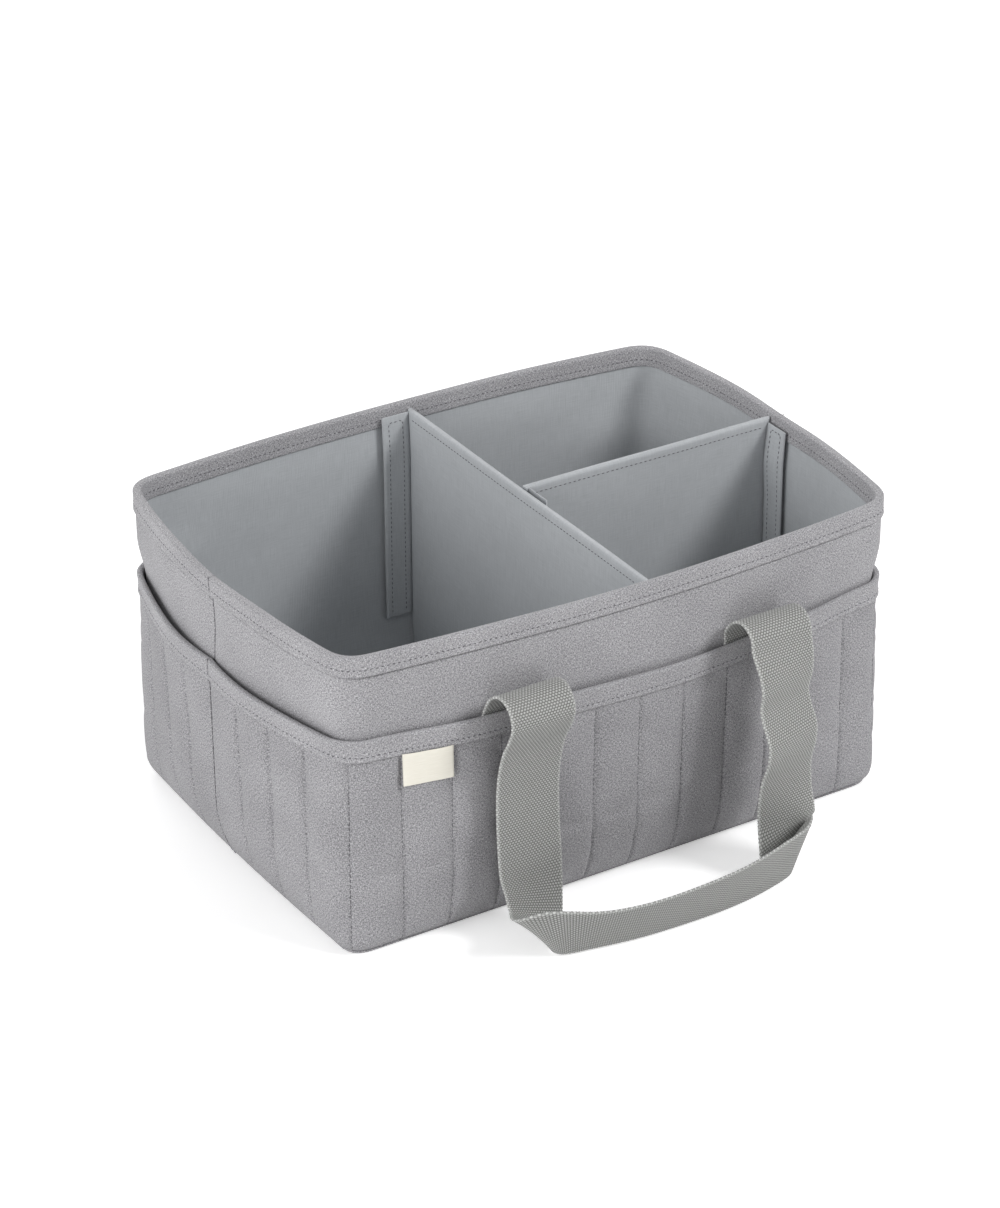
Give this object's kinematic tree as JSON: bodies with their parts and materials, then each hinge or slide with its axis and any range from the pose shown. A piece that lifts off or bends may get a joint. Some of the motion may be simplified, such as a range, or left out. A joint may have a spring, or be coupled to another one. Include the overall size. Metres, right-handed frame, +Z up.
{
  "type": "diaper caddy",
  "caption": "Soft grey open-top caddy with a padded box, quilted pocket skirt, two webbing carry handles and lift-out dividers making three compartments.",
  "frame": {"origin": "on the floor under the middle of the base, midway between the two handles", "axes": "+X to the right along the long side, -Y towards the labelled front, +Z up"},
  "size_m": [0.3692, 0.3962, 0.177],
  "materials": {
    "shell": "matt grey melange cloth",
    "skirt": "matt grey melange cloth, quilted in upright channels",
    "binding": "matt grey melange strip, top-stitched",
    "lining": "smooth matt blue-grey cloth",
    "webbing": "flat woven webbing, matt",
    "tape": "hook-and-loop tape",
    "label": "smooth cream tape, bare",
    "foam": "soft padding, hidden",
    "board": "stiffening board, hidden"
  },
  "bodies": {
    "caddy": {"base_outer_panel": "skirt", "base_board": "board", "base_foam": "foam", "lining_floor": "lining", "shell_front": "shell", "shell_back": "shell", "wall_foam_front": "foam", "wall_foam_right": "foam", "wall_foam_back": "foam", "wall_foam_left": "foam", "lining_walls": "lining", "rim_binding_front": "binding", "rim_binding_back": "binding", "pocket_skirt_front": "skirt", "pocket_skirt_back": "skirt", "pocket_binding_front": "binding", "pocket_binding_back": "binding", "label": "label", "front_handle_left_anchor": "webbing", "front_handle_left_roll": "webbing", "front_handle_right_anchor": "webbing", "front_handle_right_roll": "webbing", "back_handle_left_anchor": "webbing", "back_handle_left_roll": "webbing", "back_handle_right_anchor": "webbing", "back_handle_right_roll": "webbing", "front_wall_loop_tape": "tape", "back_wall_loop_tape": "tape", "right_wall_loop_tape": "tape"},
    "front_handle": {"front_handle_loop": "webbing"},
    "back_handle": {"back_handle_loop": "webbing"},
    "cross_divider": {"cross_divider_cover": "lining", "cross_divider_board": "board", "cross_divider_front_flap": "lining", "cross_divider_front_hook_tape": "tape", "cross_divider_back_flap": "lining", "cross_divider_back_hook_tape": "tape", "cross_divider_loop_tape": "tape"},
    "long_divider": {"long_divider_cover": "lining", "long_divider_board": "board", "long_divider_right_flap": "lining", "long_divider_right_hook_tape": "tape", "long_divider_inner_flap": "lining", "long_divider_hook_tape": "tape"}
  },
  "joints": [
    {"name": "front_handle_swing", "type": "hinge", "parent": "caddy", "child": "front_handle", "pos_m": [0, -0.1415, 0.131], "axis": [-1, 0, 0], "range_deg": [0, 160], "deforming": ["front_handle_left_roll", "front_handle_right_roll"]},
    {"name": "back_handle_swing", "type": "hinge", "parent": "caddy", "child": "back_handle", "pos_m": [0, 0.1415, 0.131], "axis": [1, 0, 0], "range_deg": [0, 160], "deforming": ["back_handle_left_roll", "back_handle_right_roll"]},
    {"name": "cross_divider_lift", "type": "slide", "parent": "caddy", "child": "cross_divider", "axis": [0, 0, 1], "range_m": [0, 0.18]},
    {"name": "long_divider_lift", "type": "slide", "parent": "caddy", "child": "long_divider", "axis": [0, 0, 1], "range_m": [0, 0.18]}
  ]
}
